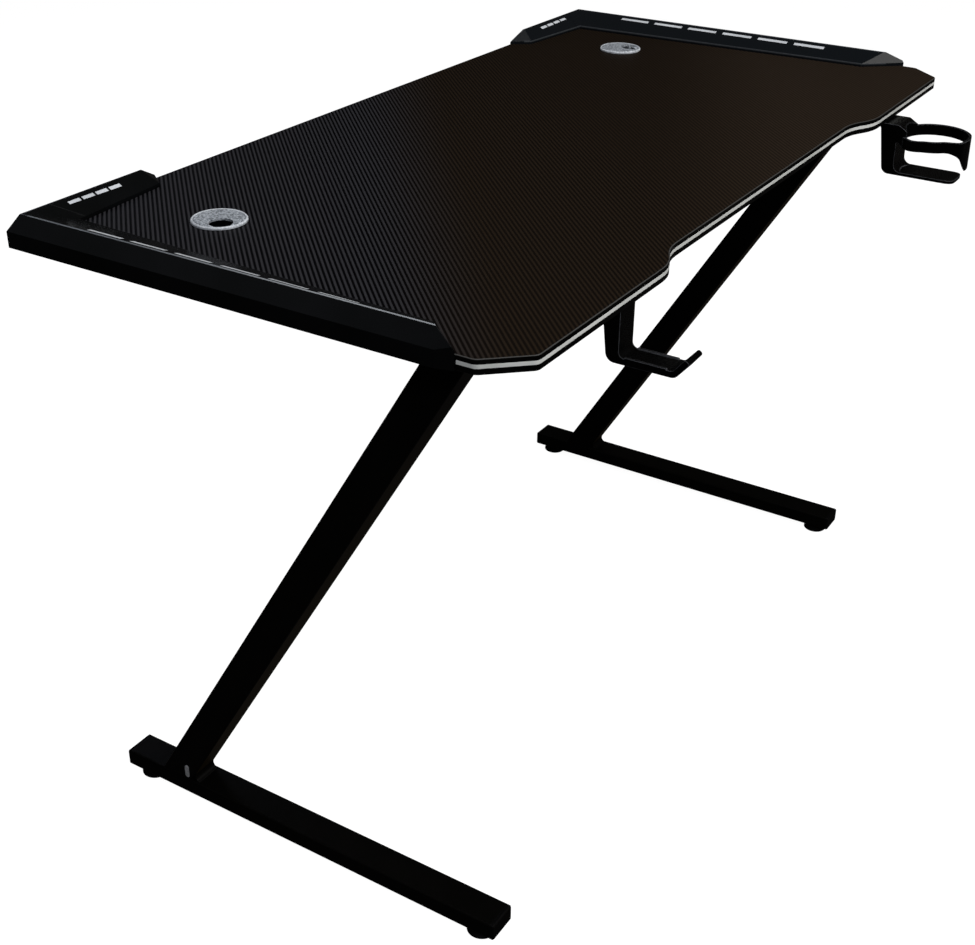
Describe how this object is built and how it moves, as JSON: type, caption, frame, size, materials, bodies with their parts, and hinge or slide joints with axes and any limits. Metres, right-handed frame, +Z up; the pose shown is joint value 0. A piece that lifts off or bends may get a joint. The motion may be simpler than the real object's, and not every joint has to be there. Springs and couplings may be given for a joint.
{
  "type": "gaming desk",
  "caption": "Black gaming desk on Z-shaped tube frames, with lit side bars, cable grommets, a headphone hook and a cup holder.",
  "frame": {"origin": "on the floor, under the middle of the whole footprint with the cup holder", "axes": "+X along the desk to the sitter's right, +Y from the sitter to the back edge, +Z up"},
  "size_m": [1.2, 0.71, 0.768],
  "materials": {
    "desktop_film": "satin",
    "edge_black": "gloss",
    "stripe_grey": "satin",
    "bar_black": "gloss",
    "window_white": "satin",
    "inner_black": "matte",
    "light_board": "matte",
    "gland_rubber": "matte",
    "grommet_grey": "satin",
    "frame_black": "satin",
    "cap_black": "satin",
    "zinc": "satin",
    "bracket_black": "satin",
    "pad_black": "matte"
  },
  "bodies": {
    "desk": {"arm_cap_back_left": "cap_black", "arm_cap_back_right": "cap_black", "arm_cap_front_left": "cap_black", "arm_cap_front_right": "cap_black", "back_bar_cover_left": "bar_black", "back_bar_cover_right": "bar_black", "back_diffuser_left": "window_white", "back_diffuser_right": "window_white", "back_led_strip_left": "light_board", "back_led_strip_right": "light_board", "bar_base_left": "inner_black", "bar_base_right": "inner_black", "bar_screws": "zinc", "beam_bolts": "zinc", "beam_plate_left": "frame_black", "beam_plate_right": "frame_black", "cable_gland_left": "gland_rubber", "cable_gland_right": "gland_rubber", "cross_beam": "frame_black", "cup_holder": "bracket_black", "cup_screws": "zinc", "desktop_board": "desktop_film", "drain_plug_left": "zinc", "drain_plug_right": "zinc", "edge_band": "edge_black", "edge_stripe": "stripe_grey", "foot_cap_back_left": "cap_black", "foot_cap_back_right": "cap_black", "foot_cap_front_left": "cap_black", "foot_cap_front_right": "cap_black", "foot_tube_left": "frame_black", "foot_tube_right": "frame_black", "grommet_ring_left": "grommet_grey", "grommet_ring_right": "grommet_grey", "headphone_hook": "bracket_black", "hook_screws": "zinc", "leg_tube_left": "frame_black", "leg_tube_right": "frame_black", "leveller_nuts": "zinc", "side_bar_cover_left": "bar_black", "side_bar_cover_right": "bar_black", "side_diffuser_left": "window_white", "side_diffuser_right": "window_white", "side_led_strip_left": "light_board", "side_led_strip_right": "light_board", "top_arm_left": "frame_black", "top_arm_right": "frame_black", "top_screws": "zinc"},
    "grommet_cap_left": {"grommet_cap_left": "grommet_grey"},
    "grommet_cap_right": {"grommet_cap_right": "grommet_grey"},
    "leveller_pad_front_left": {"leveller_pad_front_left": "pad_black"},
    "leveller_stud_front_left": {"leveller_stud_front_left": "zinc"},
    "leveller_pad_back_left": {"leveller_pad_back_left": "pad_black"},
    "leveller_stud_back_left": {"leveller_stud_back_left": "zinc"},
    "leveller_pad_front_right": {"leveller_pad_front_right": "pad_black"},
    "leveller_stud_front_right": {"leveller_stud_front_right": "zinc"},
    "leveller_pad_back_right": {"leveller_pad_back_right": "pad_black"},
    "leveller_stud_back_right": {"leveller_stud_back_right": "zinc"}
  },
  "joints": [
    {"name": "cap_turn_left", "type": "hinge", "parent": "desk", "child": "grommet_cap_left", "pos_m": [-0.451, 0.202, 0.752], "axis": [0, 0, 1], "continuous": true},
    {"name": "cap_turn_right", "type": "hinge", "parent": "desk", "child": "grommet_cap_right", "pos_m": [0.451, 0.202, 0.752], "axis": [0, 0, 1], "continuous": true},
    {"name": "level_front_left", "type": "slide", "parent": "desk", "child": "leveller_pad_front_left", "axis": [0, 0, -1], "range_m": [0, 0.008]},
    {"name": "screw_front_left", "type": "hinge", "parent": "leveller_pad_front_left", "child": "leveller_stud_front_left", "pos_m": [-0.519, -0.172, 0.01], "axis": [0, 0, -1], "range_deg": [0, 2300]},
    {"name": "level_back_left", "type": "slide", "parent": "desk", "child": "leveller_pad_back_left", "axis": [0, 0, -1], "range_m": [0, 0.008]},
    {"name": "screw_back_left", "type": "hinge", "parent": "leveller_pad_back_left", "child": "leveller_stud_back_left", "pos_m": [-0.519, 0.326, 0.01], "axis": [0, 0, -1], "range_deg": [0, 2300]},
    {"name": "level_front_right", "type": "slide", "parent": "desk", "child": "leveller_pad_front_right", "axis": [0, 0, -1], "range_m": [0, 0.008]},
    {"name": "screw_front_right", "type": "hinge", "parent": "leveller_pad_front_right", "child": "leveller_stud_front_right", "pos_m": [0.519, -0.172, 0.01], "axis": [0, 0, -1], "range_deg": [0, 2300]},
    {"name": "level_back_right", "type": "slide", "parent": "desk", "child": "leveller_pad_back_right", "axis": [0, 0, -1], "range_m": [0, 0.008]},
    {"name": "screw_back_right", "type": "hinge", "parent": "leveller_pad_back_right", "child": "leveller_stud_back_right", "pos_m": [0.519, 0.326, 0.01], "axis": [0, 0, -1], "range_deg": [0, 2300]}
  ],
  "couplings": [
    {"joint": "level_front_left", "follows": "screw_front_left", "m_per_rad": 0.00019894},
    {"joint": "level_back_left", "follows": "screw_back_left", "m_per_rad": 0.00019894},
    {"joint": "level_front_right", "follows": "screw_front_right", "m_per_rad": 0.00019894},
    {"joint": "level_back_right", "follows": "screw_back_right", "m_per_rad": 0.00019894}
  ]
}
